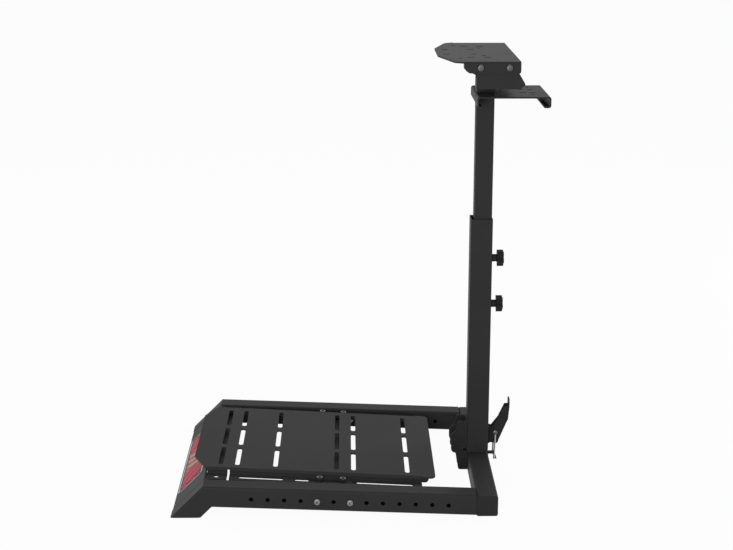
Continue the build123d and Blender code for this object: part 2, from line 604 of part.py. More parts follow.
def wheel_bracket():
    """Wide bracket on the mast: a folded channel whose sides are cut to shape and turned in at the front."""
    half = SHEET / 2
    cheek, web, top = WHEEL_INNER - half, BRACKET_LOW + half, WHEEL_TOP - SHEET - BRACKET_TOP_GAP
    line = [(-cheek, top + SHEET), (-cheek, web), (cheek, web), (cheek, top + SHEET)]
    section = folded(line, BRACKET_BEND, SHEET)
    bracket = along_x(section, BRACKET_SHOULDER_X - SHEET, BRACKET_RIGHT + SHEET)
    under = BRACKET_LOW - BRACKET_HEEL_Z
    outline = [(BRACKET_LEFT, under, 0), (BRACKET_RIGHT - 2 * BRACKET_HEEL_X, under, 0),
               (BRACKET_RIGHT, BRACKET_LOW + BRACKET_HEEL_Z, BRACKET_HEEL_ROUND),
               (BRACKET_BACK_X, BRACKET_BACK_Z, BRACKET_BACK_ROUND), (BRACKET_BACK_X, top, 0),
               (BRACKET_SHOULDER_X, top, 0), (BRACKET_SHOULDER_X, BRACKET_SHOULDER_Z, 0),
               (BRACKET_LEFT, BRACKET_SHOULDER_Z, BRACKET_SHOULDER_ROUND)]
    bracket &= along_y(profile(outline), -WHEEL_HALF, WHEEL_HALF)
    low, high = BRACKET_LOW + SHEET, BRACKET_SHOULDER_Z - BRACKET_SHOULDER_ROUND
    for side in (-1, 1):
        span = pair(side, cheek - BRACKET_RETURN, cheek)
        bracket += block(BRACKET_LEFT, BRACKET_LEFT + SHEET, *span, low, high)
    for x in FLANGE_BOLTS:
        bracket -= rod_y(x, FLANGE_BOLT_Z, BOLT_R, -WHEEL_HALF, WHEEL_HALF)
    return bracket


def wheel_plate():
    """Wheel plate: slotted top with a slanted nose, and a side flange bent down along each edge."""
    h, top, half = WHEEL_HALF, WHEEL_TOP, SHEET / 2
    near = [(WHEEL_NOSE_X, -WHEEL_NOSE_Y, WHEEL_NOSE_ROUND), (WHEEL_SIDE_X, -WHEEL_SIDE_Y, WHEEL_SIDE_ROUND),
            (WHEEL_CORNER_X, -h, WHEEL_SIDE_ROUND), (WHEEL_RIGHT, -h, WHEEL_BACK_ROUND)]
    far = [(x, -y, radius) for x, y, radius in reversed(near)]
    plate = along_z(profile(near + far), top - SHEET, top)
    side_view = [(WHEEL_FLANGE_LEFT, top + SHEET, 0),
                 (WHEEL_FLANGE_LEFT, WHEEL_FLANGE_LOW, WHEEL_FLANGE_ROUND),
                 (WHEEL_RIGHT, WHEEL_FLANGE_LOW, WHEEL_FLANGE_HEEL), (WHEEL_RIGHT, top + SHEET, 0)]
    z0, z1 = top - 2 * SHEET, top + SHEET
    for side in (-1, 1):
        line = [(side * (h - TRAY_STRIP), top - half), (side * (h - half), top - half),
                (side * (h - half), WHEEL_FLANGE_LOW - SHEET)]
        fold = along_x(folded(line, BEND, SHEET), WHEEL_FLANGE_LEFT - SHEET, WHEEL_RIGHT + SHEET)
        fold &= along_y(profile(side_view), -h - SHEET, h + SHEET)
        plate -= block(WHEEL_FLANGE_LEFT, WHEEL_RIGHT, *pair(side, h - TRAY_STRIP, h), top - SHEET, top)
        plate += fold
        for x, y in WHEEL_SLOTS:
            plate -= slot_cut(x, side * y, WHEEL_SLOT_LENGTH, WHEEL_SLOT_WIDTH, 0, z0, z1)
        for x, y in WHEEL_HOLES:
            plate -= Pos(x, side * y, top) * Cylinder(WHEEL_HOLE_R, 3 * SHEET)
    for x in FLANGE_BOLTS:
        plate -= rod_y(x, FLANGE_BOLT_Z, BOLT_R, -2 * h, 2 * h)
    return plate


NODES = {
    "near_rail": side_rail(-1),
    "far_rail": side_rail(1),
    "front_member": front_member(),
    "rear_bar": rear_bar(),
    "bar_cap_near": bar_cap(-1),
    "bar_cap_far": bar_cap(1),
    "pedal_tray": pedal_tray(),
    "tray_channel_front": tray_channel(TRAY_COLUMNS[0]),
    "tray_channel_rear": tray_channel(TRAY_COLUMNS[3]),
    "tray_bracket_near": tray_bracket(-1),
    "tray_bracket_far": tray_bracket(1),
    "hinge_base": hinge_base(),
    "hinge_pin": hinge_pin(),
    "latch_catch": latch_catch(),
    "hinge_leaf": hinge_leaf(),
    "lower_tube": lower_tube(),
    "clamp_boss_upper": clamp_boss(KNOB_HEIGHTS[0]),
    "clamp_boss_lower": clamp_boss(KNOB_HEIGHTS[1]),
    "latch_base": latch_base(),
    "upper_tube": upper_tube(),
    "shifter_plate": shifter_plate(),
    "wheel_bracket": wheel_bracket(),
    "wheel_plate": wheel_plate(),
    "clamp_knob_upper": clamp_knob(KNOB_HEIGHTS[0]),
    "clamp_knob_lower": clamp_knob(KNOB_HEIGHTS[1]),
    "latch_lever": latch_lever(),
    "latch_bail": latch_bail(),
}

os.makedirs("parts", exist_ok=True)
for name, shape in NODES.items():
    shape.label = name
    export_step(shape, os.path.join("parts", name + ".step"))
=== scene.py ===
"""Looks of a folding racing wheel stand: coats, fasteners, front sticker and a plain studio.

Objects are in metres, and the sizes named below in millimetres. +X points to the driver, +Y to the far side
and +Z up. The floor is Z = 0.
"""
import math

import bpy
import numpy as np
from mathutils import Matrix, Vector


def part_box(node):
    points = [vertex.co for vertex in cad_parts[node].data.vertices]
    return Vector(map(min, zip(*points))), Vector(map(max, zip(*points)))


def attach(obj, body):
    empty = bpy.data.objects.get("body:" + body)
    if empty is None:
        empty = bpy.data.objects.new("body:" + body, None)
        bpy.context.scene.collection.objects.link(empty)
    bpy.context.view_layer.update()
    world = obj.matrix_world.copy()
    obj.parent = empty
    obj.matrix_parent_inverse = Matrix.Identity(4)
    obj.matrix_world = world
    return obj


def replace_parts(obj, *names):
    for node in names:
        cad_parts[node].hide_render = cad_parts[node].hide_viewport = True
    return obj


bl_info = {
    "name": "Racing wheel stand",
    "version": (1, 0, 0),
    "blender": (4, 5, 0),
    "location": "View3D > Sidebar > Stand",
    "description": "Dresses a folding steel stand with its coats, fasteners, sticker and studio",
    "category": "Object",
}

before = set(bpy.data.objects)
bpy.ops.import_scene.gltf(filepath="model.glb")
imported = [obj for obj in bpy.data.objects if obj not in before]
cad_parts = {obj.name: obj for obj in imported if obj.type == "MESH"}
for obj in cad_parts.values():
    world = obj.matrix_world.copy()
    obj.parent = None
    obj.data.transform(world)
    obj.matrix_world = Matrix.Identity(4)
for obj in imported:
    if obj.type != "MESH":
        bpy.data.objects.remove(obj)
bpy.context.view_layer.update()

MM = 0.001
TURN = 2 * math.pi
SIDES = {"near": -1, "far": 1}

# Faces that carry a piece are read from the frame
SHEET = 3.0
ALONG, UP = (1, 0, 0), (0, 0, 1)

# Side rails and tray brackets: Y of their far faces, and the bolts' X and Z
RAIL_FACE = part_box("far_rail")[1].y / MM
RAIL_BOLTS = ((-80.02, 31.31), (-19.18, 28.96))
BRACKET_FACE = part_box("tray_bracket_far")[1].y / MM - SHEET

# Tray: its middle in X and Z and its tilt. Lip places lie in its own flat plane
TRAY_MIDDLE = (-88.0, 59.0)
TRAY_TILT = math.radians(3.1)
TRAY_UP = np.array([math.sin(TRAY_TILT), 0, math.cos(TRAY_TILT)])
LIP_TOP, SHELF_LOW = -11.0, -17.0
LIP_BOLTS = (12.4, 56.3)
LIP_BOLT_Y = 179.5
LIP_FRONT, LIP_START = -204.6, -195.0
LIP_INNER, LIP_OUTER = 163.0, 199.6
LIP_SINK = 0.2

# Slanted front: its foot, its slope and the plate's section as X, Z and corner radius
SLOPE_FOOT = (-351.79, -0.21)
SLOPE = math.radians(45.0)
PANEL_SECTION = ((-350.98, 0.6, 0), (-348.15, 0.6, 0), (-289.04, 59.71, 0), (-291.77, 59.81, 0))
PANEL_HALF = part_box("front_member")[1].y / MM

# Sticker: its thickness, the bands, bars and chequers of its print, and its edge lines
STICKER_THICK = 0.3
BAND_PITCH, BAND_WIDTH, BAND_SLANT = 34.0, 13.0, 0.8
BAR_PITCH, BAR_WIDTH, BAR_SLANT = 27.0, 15.0, -0.55
BAR_REACH, BAR_MARGIN = 48.0, 10.0
CHEQUER, CHEQUER_REACH = 11.0, 26.0
KEYLINE, DARK_LINE = 3.4, 7.0

# Wheel plate's far flange and the bracket under it, with the cheek's outline as X, Z and corner radius
FLANGE_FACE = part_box("wheel_plate")[1].y / MM
FLANGE_BOLTS = ((214.5, 819.4), (265.8, 819.4))
CHEEK_FACE = FLANGE_FACE - 2 * SHEET
BRACKET_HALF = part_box("wheel_bracket")[1].y / MM
BRACKET_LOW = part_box("wheel_bracket")[0].z / MM
BRACKET_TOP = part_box("wheel_bracket")[1].z / MM
NECK_X, SHOULDER_X, SHOULDER_Z, SHOULDER_ROUND = 207.5, 197.5, 809.3, 9.0
BACK_X = 284.2
CHEEK_SIDE = ((NECK_X, BRACKET_LOW, 0), (286.0, BRACKET_LOW, 4.0), (296.0, 788.5, 4.0), (BACK_X, 808.0, 6.0),
              (BACK_X, BRACKET_TOP, 0), (SHOULDER_X, BRACKET_TOP, 0), (SHOULDER_X, SHOULDER_Z, 0),
              (NECK_X, SHOULDER_Z, SHOULDER_ROUND))
CHEEK_HUB = (245.0, 812.0)
RETURN_WIDTH = 24.5
WEB_FRONT, WEB_REAR = 236.0, 288.0
MAST_LEFT, MAST_HALF = 219.8, 17.0

# Post's foot over the rear bar
FOOT_MIDDLE = (234.5, 0.0)
FOOT_HALF, FOOT_ROUND, FOOT_GAP = 20.6, 3.0, 0.2
FOOT_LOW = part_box("rear_bar")[1].z / MM + FOOT_GAP
FOOT_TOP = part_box("lower_tube")[0].z / MM

# Latch rivet's X and Z, and the face it sits on
RIVET = (269.8, 79.3)
RIVET_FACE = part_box("latch_bail")[1].y / MM
RIVET_HEIGHT = 1.4

# Small sizes of the fasteners
NUT_BORE = 4.0
SCREW_OUT = 2.0
CAP_EDGE = 0.8
# Pale zinc ring on the top edge of each black lip bolt head, a painted highlight: its width, depth and how
# proud it stands
HIGHLIGHT_RING_WIDTH, HIGHLIGHT_RING_DEPTH, HIGHLIGHT_RING_PROUD = 1.5, 0.6, 0.1

# Meshes: the distance in metres at which points merge, and the angle past which an edge is sharp
MERGE = 1e-6
SHARP = math.radians(32)

# Lamps: place in metres, power in watts and size in metres. All of them look at one point
LAMPS = {
    "key": ((-0.6, -2.75, 0.85), 37.0, 1.2),
    "top": ((0.6, 0.8, 3.0), 4.0, 2.0),
    "right": ((2.4, 1.4, 1.3), 22.0, 1.5),
    "left": ((-2.5, 1.5, 1.3), 12.0, 1.5),
}
LAMP_AIM = (0.0, 0.0, 0.35)
SENSOR_WIDTH = 36.0
SIGHT = 50.0
FLOOR_REACH = 30.0
FLOOR_GLOW = 0.95

# Flecks in the powder coat: how rare, how strong and how pale they are
FLECK_LIMIT, FLECK_SHARE, FLECK_TONE = 0.68, 0.25, 0.06

# Sticker's print: how far each layer covers the one below, and its worn and dark tones
FADE_SHARE, BAND_SHARE, CHEQUER_SHARE = 0.35, 0.8, 0.85
WORN_RED = 0.6
CHEQUER_TONE, DARK_LINE_TONE, KEYLINE_TONE = 0.015, 0.02, 0.60

COATED = ("near_rail", "far_rail", "front_member", "rear_bar", "pedal_tray", "tray_channel_front",
          "tray_channel_rear", "tray_bracket_near", "tray_bracket_far", "lower_tube", "upper_tube",
          "clamp_boss_upper", "clamp_boss_lower", "shifter_plate", "wheel_bracket", "wheel_plate")
BLACKENED = ("hinge_base", "hinge_leaf", "hinge_pin", "latch_base", "latch_lever", "latch_catch")
MOULDED = ("clamp_knob_upper", "clamp_knob_lower")
PLUGS = ("bar_cap_near", "bar_cap_far")
WIRES = ("latch_bail",)


class Link:
    """A socket of a node tree; arithmetic on it adds Math nodes."""

    def __init__(self, tree, socket):
        self.tree = tree
        self.socket = socket

    def math(self, operation, first, second):
        node = self.tree.nodes.new("ShaderNodeMath")
        node.operation = operation
        feed(self.tree, node.inputs[0], first)
        feed(self.tree, node.inputs[1], second)
        return Link(self.tree, node.outputs[0])

    def __add__(self, other):
        return self.math("ADD", self, other)

    def __radd__(self, other):
        return self.math("ADD", other, self)

    def __sub__(self, other):
        return self.math("SUBTRACT", self, other)

    def __rsub__(self, other):
        return self.math("SUBTRACT", other, self)

    def __mul__(self, other):
        return self.math("MULTIPLY", self, other)

    def __rmul__(self, other):
        return self.math("MULTIPLY", other, self)

    def __gt__(self, other):
        return self.math("GREATER_THAN", self, other)

    def __lt__(self, other):
        return self.math("LESS_THAN", self, other)

    def __mod__(self, other):
        return self.math("FLOORED_MODULO", self, other)


def feed(tree, socket, value):
    """Puts a link or a value into a socket."""
    if isinstance(value, Link):
        tree.links.new(value.socket, socket)
    else:
        socket.default_value = value


class Finish:
    """A material's or world's node tree under construction: node() adds one node of any kind."""

    def __init__(self, owner):
        owner.use_nodes = True
        self.owner = owner
        self.tree = owner.node_tree
        self.tree.nodes.clear()

    def node(self, kind, settings=None, inputs=None, output=0):
        made = self.tree.nodes.new(kind)
        for key, value in (settings or {}).items():
            setattr(made, key, value)
        for key, value in (inputs or {}).items():
            feed(self.tree, made.inputs[key], value)
        return Link(self.tree, made.outputs[output]) if made.outputs else made

    def place(self):
        return self.node("ShaderNodeTexCoord", output="Object")

    def grain(self, place, scale, detail=2.0, roughness=0.5):
        inputs = {"Vector": place, "Scale": scale, "Detail": detail, "Roughness": roughness}
        return self.node("ShaderNodeTexNoise", None, inputs)

    def blend(self, factor, first, second):
        inputs = {0: factor, 6: first, 7: second}
        return self.node("ShaderNodeMix", {"data_type": "RGBA"}, inputs, 2)

    def bump(self, height, depth, strength=1.0):
        return self.node("ShaderNodeBump", None, {"Height": height, "Distance": depth, "Strength": strength})

    def surface(self, **inputs):
        named = {key.replace("_", " "): value for key, value in inputs.items()}
        shader = self.node("ShaderNodeBsdfPrincipled", None, named)
        self.node("ShaderNodeOutputMaterial", None, {"Surface": shader})
        return self.owner


def grey(level):
    return (level, level, level, 1.0)


def solid(colour):
    """A colour property with full alpha."""
    return tuple(colour) + (1.0,)


def about(mean, *swings):
    """A mean value that swings with patterns: for each pattern, its swing times the pattern less one half."""
    value = mean
    for pattern, swing in swings:
        value = value + swing * (pattern - 0.5)
    return value


def powder_coat(settings):
    """Semi-gloss black powder coat: orange peel about a millimetre across, fine flecks, slow cloudy tone."""
    finish = Finish(bpy.data.materials.new("powder_coat"))
    place = finish.place()
    peel = finish.grain(place, scale=700.0, detail=3.0)
    cloud = finish.grain(place, scale=9.0, detail=3.0)
    fleck = finish.grain(place, scale=3200.0, detail=1.0)
    tone = finish.blend(cloud, solid(settings.coat_dark), solid(settings.coat_light))
    tone = finish.blend((fleck > FLECK_LIMIT) * FLECK_SHARE, tone, grey(FLECK_TONE))
    rough = about(settings.coat_roughness, (cloud, 0.12), (peel, 0.10))
    normal = finish.bump(peel, depth=0.00012, strength=0.35)
    return finish.surface(Base_Color=tone, Roughness=rough, Normal=normal,
                          Specular_IOR_Level=settings.coat_gloss)


def black_stamping(settings):
    """Smooth black finish of the hinge and latch stampings, with faint rolling marks."""
    finish = Finish(bpy.data.materials.new("black_stamping"))
    place = finish.place()
    stretch = finish.node("ShaderNodeMapping", None, {"Vector": place, "Scale": (0.08, 1.0, 1.0)})
    roll = finish.grain(stretch, scale=1500.0)
    cloud = finish.grain(place, scale=40.0, detail=3.0)
    tone = finish.blend(cloud, grey(0.019), grey(0.029))
    rough = about(0.48, (cloud, 0.14), (roll, 0.08))
    normal = finish.bump(roll, depth=0.00006, strength=0.25)
    return finish.surface(Base_Color=tone, Roughness=rough, Normal=normal, Specular_IOR_Level=0.03)


def plastic(name, dark, light):
    """Black moulded plastic with a fine spark-eroded grain, between two tones."""
    finish = Finish(bpy.data.materials.new(name))
    place = finish.place()
    spark = finish.grain(place, scale=1600.0, detail=4.0, roughness=0.6)
    cloud = finish.grain(place, scale=30.0)
    tone = finish.blend(cloud, grey(dark), grey(light))
    rough = about(0.52, (spark, 0.16))
    normal = finish.bump(spark, depth=0.00012, strength=0.5)
    return finish.surface(Base_Color=tone, Roughness=rough, Normal=normal, Specular_IOR_Level=0.08)


def moulded_plastic(settings):
    return plastic("moulded_plastic", dark=0.009, light=0.016)


def plug_plastic(settings):
    return plastic("plug_plastic", dark=0.017, light=0.025)


def plating(name, dark, light):
    """Zinc plating on bolts and nuts: grey metal with crystal mottle, between two tones."""
    finish = Finish(bpy.data.materials.new(name))
    place = finish.place()
    mottle = finish.node("ShaderNodeTexVoronoi", None, {"Vector": place, "Scale": 900.0}, "Color")
    value = finish.node("ShaderNodeRGBToBW", None, {"Color": mottle})
    cloud = finish.grain(place, scale=260.0, detail=4.0, roughness=0.6)
    tone = finish.blend(0.6 * cloud + 0.4 * value, solid(dark), solid(light))
    rough = about(0.34, (cloud, 0.22))
    normal = finish.bump(cloud, depth=0.00008, strength=0.3)
    return finish.surface(Base_Color=tone, Roughness=rough, Normal=normal, Metallic=0.75)


def zinc_plate(settings):
    return plating("zinc_plate", settings.zinc_dark, settings.zinc_light)


def dull_plate(settings):
    return plating("dull_plate", settings.dull_dark, settings.dull_light)


def spring_wire(settings):
    """Drawn spring wire, plated, with fine lengthwise scratches."""
    finish = Finish(bpy.data.materials.new("spring_wire"))
    place = finish.place()
    stretch = finish.node("ShaderNodeMapping", None, {"Vector": place, "Scale": (1.0, 1.0, 0.04)})
    drawn = finish.grain(stretch, scale=4000.0)
    tone = finish.blend(drawn, grey(0.38), grey(0.56))
    rough = about(0.24, (drawn, 0.16))
    normal = finish.bump(drawn, depth=0.00003, strength=0.3)
    return finish.surface(Base_Color=tone, Roughness=rough, Normal=normal, Metallic=0.9)


def sticker_print(settings):
    """Printed vinyl: a pale keyline and a dark line round a red field with bands, bars and chequers.

    The UV map "print" holds millimetres from the sticker's middle: U along it, V up it. The distance from the
    edge is the half height less the absolute V, or twice the half length less the absolute U, whichever is
    smaller. A band or bar is where U, slanted by V, falls in the first part of its pitch. A chequer is dark
    where U and V both do, or both don't.
    """
    finish = Finish(bpy.data.materials.new("sticker_print"))
    place = finish.node("ShaderNodeUVMap", {"uv_map": "print"})
    u = finish.node("ShaderNodeSeparateXYZ", None, {"Vector": place}, "X")
    v = finish.node("ShaderNodeSeparateXYZ", None, {"Vector": place}, "Y")
    half_u, half_v = settings.sticker_half_length, settings.sticker_half_height
    far_u = u.math("ABSOLUTE", u, 0.0)
    far_v = v.math("ABSOLUTE", v, 0.0)
    edge = u.math("MINIMUM", 2 * (half_u - far_u), half_v - far_v)
    fade = finish.grain(finish.place(), scale=30.0)
    fibre = finish.grain(finish.place(), scale=1500.0, detail=3.0)
    worn_red = [WORN_RED * part for part in settings.sticker_red]
    tone = finish.blend(fade * FADE_SHARE, solid(settings.sticker_red), solid(worn_red))
    band = ((u + BAND_SLANT * v) % BAND_PITCH) < BAND_WIDTH
    tone = finish.blend(band * BAND_SHARE, tone, solid(settings.sticker_pink))
    bars = ((u + BAR_SLANT * v) % BAR_PITCH) < BAR_WIDTH
    bars = bars * (far_u < BAR_REACH) * (far_v < half_v - BAR_MARGIN)
    tone = finish.blend(bars, tone, solid(settings.sticker_pale))
    odd = u.math("COMPARE", (u % (2 * CHEQUER)) < CHEQUER, (v % (2 * CHEQUER)) < CHEQUER)
    chequer = odd * (far_u > half_u - CHEQUER_REACH)
    tone = finish.blend(chequer * CHEQUER_SHARE, tone, grey(CHEQUER_TONE))
    tone = finish.blend(edge < DARK_LINE, tone, grey(DARK_LINE_TONE))
    tone = finish.blend(edge < KEYLINE, tone, grey(KEYLINE_TONE))
    rough = about(0.42, (fibre, 0.10))
    normal = finish.bump(fibre, depth=0.00004, strength=0.3)
    return finish.surface(Base_Color=tone, Roughness=rough, Normal=normal, Specular_IOR_Level=0.04)


def hexagon(angle):
    """Radius of a hexagon of unit apothem at an angle.

    It is one over the cosine of the angle from the middle of the nearest flat.
    """
    sector = math.pi / 3
    return 1.0 / np.cos((angle + sector / 2) % sector - sector / 2)


def turned(profile, steps=48):
    """Grid of a turned piece about Z: each profile row is a radius, a height and how hexagonal the ring is.

    A ring's point is at its radius times (1 - hex + hex * hexagon(angle)). The first and last rings are
    points, or the same ring where the section is closed.
    """
    rows = np.array(profile, float)
    angle = np.arange(steps) * TURN / steps
    shape = 1.0 - rows[:, 2:3] + rows[:, 2:3] * hexagon(angle)[None, :]
    radius = rows[:, 0:1] * shape
    height = np.broadcast_to(rows[:, 1:2], radius.shape)
    return np.stack([radius * np.cos(angle), radius * np.sin(angle), height], axis=-1)


def rings_to_faces(rows, steps, first):
    """Quads between neighbouring rings, as whole arrays; the grid is closed round each ring."""
    row, step = np.meshgrid(np.arange(rows - 1), np.arange(steps), indexing="ij")
    after = (step + 1) % steps
    here, below = row * steps, (row + 1) * steps
    quads = np.stack([here + step, below + step, below + after, here + after], -1)
    return quads.reshape(-1, 4) + first


def put(name, grids, material, body):
    """One mesh piece from closed ring grids, in millimetres, with its doubles merged."""
    points = []
    faces = []
    first = 0
    for grid in grids:
        rows, steps = grid.shape[:2]
        points.append(grid.reshape(-1, 3) * MM)
        faces.append(rings_to_faces(rows, steps, first))
        first += rows * steps
    mesh = bpy.data.meshes.new(name)
    mesh.from_pydata(np.concatenate(points).tolist(), [], np.concatenate(faces).tolist())
    mesh.materials.append(material)
    piece = bpy.data.objects.new(name, mesh)
    bpy.context.scene.collection.objects.link(piece)
    weld = piece.modifiers.new("weld", "WELD")
    weld.merge_threshold = MERGE
    mesh.polygons.foreach_set("use_smooth", np.ones(len(mesh.polygons), bool))
    mesh.set_sharp_from_angle(angle=SHARP)
    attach(piece, body)
    return piece


def stand_on(grid, origin, axis, along):
    """Grid set with its Z on an axis and its X on a second direction, at an origin."""
    z = np.array(axis, float) / np.linalg.norm(axis)
    x = np.array(along, float) - np.dot(along, z) * z
    x /= np.linalg.norm(x)
    y = np.cross(z, x)
    return grid @ np.stack([x, y, z]) + np.array(origin, float)


def copies(grid, places, axis):
    """A grid at each of several places, with its Z on an axis."""
    return [stand_on(grid, place, axis, ALONG) for place in places]


def at_depth(points, y):
    """Points given in X and Z, set at one Y."""
    return [(x, y, z) for x, z in points]


def rounded_sheet(half_u, half_v, corner, thick):
    """Grid of a thin rounded rectangle: rings of its outline at growing scale, then its side and its back.

    The outline is four quarter circles about the inner corners, joined by straight runs.
    """
    quarter = np.linspace(0, math.pi / 2, 10)
    arcs = []
    for i, (a, b) in enumerate(((1, 1), (-1, 1), (-1, -1), (1, -1))):
        turn = quarter + i * math.pi / 2
        arcs.append(np.stack([a * (half_u - corner) + corner * np.cos(turn),
                              b * (half_v - corner) + corner * np.sin(turn)], -1))
    outline = np.concatenate(arcs)
    scale = np.array([0.0, 0.5, 0.97, 1.0, 1.0, 0.0])
    height = np.array([1.0, 1.0, 1.0, 0.5, 0.0, 0.0]) * thick
    flat = scale[:, None, None] * outline[None]
    return np.concatenate([flat, np.broadcast_to(height[:, None, None], flat.shape[:2] + (1,))], -1)


def rounded(corners, steps=8):
    """Closed outline whose corners are arcs: each arc touches both sides of its corner.

    A corner row is two places and a radius. An arc turns evenly from one touching point to the other about
    its centre, which lies on the corner's middle line at radius over the sine of half the corner's angle.
    """
    rows = np.array(corners, float)
    share = np.linspace(0, 1, steps)[:, None]
    runs = []
    for here, before, after in zip(rows, np.roll(rows, 1, axis=0), np.roll(rows, -1, axis=0)):
        back = (before - here)[:2] / np.linalg.norm((before - here)[:2])
        ahead = (after - here)[:2] / np.linalg.norm((after - here)[:2])
        radius = here[2]
        if radius == 0:
            runs.append(here[None, :2])
            continue
        half = math.acos(np.dot(back, ahead)) / 2
        spine = (back + ahead) / np.linalg.norm(back + ahead) * radius / math.sin(half)
        touch = radius / math.tan(half)
        first = back * touch - spine
        last = ahead * touch - spine
        turn = math.pi - 2 * half
        arc = (np.sin((1 - share) * turn) * first + np.sin(share * turn) * last) / math.sin(turn)
        runs.append(here[:2] + spine + arc)
    return np.concatenate(runs)


def slab(corners, thick, hub=None):
    """Grid of a flat sheet: its outline at the top and at the bottom, each closed by a fan from a hub.

    The hub is the outline's mean point, or one that is given where the mean doesn't see the whole edge.
    """
    edge = rounded(corners)
    middle = np.broadcast_to(edge.mean(axis=0) if hub is None else hub, edge.shape)
    flat = np.stack([middle, edge, edge, middle])
    height = np.array([thick, thick, 0.0, 0.0])
    return np.concatenate([flat, np.broadcast_to(height[:, None, None], flat.shape[:2] + (1,))], -1)


def oblong(low_u, high_u, low_v, high_v, corner=0.0):
    """Corners of a rectangle, in turn."""
    places = ((low_u, low_v), (high_u, low_v), (high_u, high_v), (low_u, high_v))
    return [place + (corner,) for place in places]


def cap_head(head, height, socket):
    """Cap screw head: deep hexagon socket, flat top, chamfer and straight side."""
    floor = height * 0.45
    return turned([(0, floor, 1), (socket, floor, 1), (socket, height, 1), (head - CAP_EDGE, height, 0),
                   (head, height - CAP_EDGE, 0), (head, 0, 0), (0, 0, 0)])


def rim(inner, outer, low, high):
    """Ring of a rectangular section, closed on itself."""
    return turned([(inner, high, 0), (outer, high, 0), (outer, low, 0), (inner, low, 0), (inner, high, 0)])


def rivet_head(radius, height):
    """Low domed disc: its height falls as the square of the radius."""
    reach = np.linspace(0, 1, 7)
    dome = [(radius * r, height * (1 - 0.6 * r * r), 0) for r in reach]
    return turned(dome + [(radius, 0, 0), (0, 0, 0)])


def screw_head(head, height, socket):
    """Button head: hexagon socket, flat rim, quarter-round shoulder and seat."""
    flat = head * 0.62
    floor = height * 0.35
    bend = np.linspace(0, math.pi / 2, 7)
    shoulder = [(flat + (head - flat) * math.sin(a), height * (0.25 + 0.75 * math.cos(a)), 0) for a in bend]
    well = [(0, floor, 1), (socket, floor, 1), (socket, height * 0.96, 1), (socket * 1.04, height, 0.7)]
    return turned(well + shoulder + [(head, 0, 0), (0, 0, 0)])


def hex_nut(flat, height, bore):
    """Hexagon nut with chamfered corners on a thin washer, and the end of its screw."""
    tall = height + SCREW_OUT
    washer = flat * 1.35
    screw = [(0, tall, 0), (bore * 0.8, tall, 0), (bore, tall - 1.0, 0), (bore, height - 0.4, 0)]
    nut = [(flat * 0.96, height, 0), (flat, height - 0.7, 0.6), (flat, height - 1.2, 1), (flat, 0.8, 1),
           (flat, 0.4, 0.6)]
    seat = [(flat * 1.15, 0.4, 0), (washer, 0.3, 0), (washer, 0, 0), (0, 0, 0)]
    return turned(screw + nut + seat)


def on_tray(x, y, z):
    """Point given on the flat tray, in the stand's frame."""
    mx, mz = TRAY_MIDDLE
    c, s = math.cos(TRAY_TILT), math.sin(TRAY_TILT)
    return (mx + x * c + z * s, y, mz - x * s + z * c)


def finish_of(name, maker, context):
    """The material of a name, made once."""
    return bpy.data.materials.get(name) or maker(context.scene.stand_finish)


class StandFinish(bpy.types.PropertyGroup):
    coat_dark: bpy.props.FloatVectorProperty(
        name="Coat, dark", description="Darker tone of the powder coat", subtype="COLOR", size=3,
        default=(0.0225, 0.0225, 0.0228))
    coat_light: bpy.props.FloatVectorProperty(
        name="Coat, light", description="Lighter tone of the powder coat", subtype="COLOR", size=3,
        default=(0.0305, 0.0305, 0.0307))
    coat_roughness: bpy.props.FloatProperty(
        name="Coat roughness", description="Mean roughness of the powder coat", subtype="FACTOR",
        default=0.50)
    coat_gloss: bpy.props.FloatProperty(
        name="Coat gloss", description="Specular level of the powder coat", subtype="FACTOR", default=0.06)
    zinc_dark: bpy.props.FloatVectorProperty(
        name="Zinc, dark", description="Darker tone of the plating", subtype="COLOR", size=3,
        default=(0.155, 0.155, 0.155))
    zinc_light: bpy.props.FloatVectorProperty(
        name="Zinc, light", description="Lighter tone of the plating", subtype="COLOR", size=3,
        default=(0.24, 0.24, 0.236))
    dull_dark: bpy.props.FloatVectorProperty(
        name="Dull plate, dark", description="Darker tone of the upper bolts", subtype="COLOR", size=3,
        default=(0.065, 0.065, 0.065))
    dull_light: bpy.props.FloatVectorProperty(
        name="Dull plate, light", description="Lighter tone of the upper bolts", subtype="COLOR", size=3,
        default=(0.115, 0.115, 0.113))
    sticker_red: bpy.props.FloatVectorProperty(
        name="Sticker red", description="Field colour of the front sticker", subtype="COLOR", size=3,
        default=(0.42, 0.025, 0.042))
    sticker_pink: bpy.props.FloatVectorProperty(
        name="Sticker pink", description="Lighter bands of the front sticker", subtype="COLOR", size=3,
        default=(0.52, 0.075, 0.11))
    sticker_pale: bpy.props.FloatVectorProperty(
        name="Sticker pale", description="Bars at the middle of the front sticker", subtype="COLOR", size=3,
        default=(0.36, 0.35, 0.23))
    sticker_half_length: bpy.props.FloatProperty(
        name="Sticker half length", description="Half the length across the front, in millimetres",
        default=140.0)
    sticker_half_height: bpy.props.FloatProperty(
        name="Sticker half height", description="Half the height up the slope, in millimetres", default=33.0)
    sticker_middle: bpy.props.FloatProperty(
        name="Sticker middle", description="Distance up the slope to its middle, in millimetres",
        default=37.5)
    sticker_corner: bpy.props.FloatProperty(
        name="Sticker corner", description="Radius of its corners, in millimetres", default=9.0)


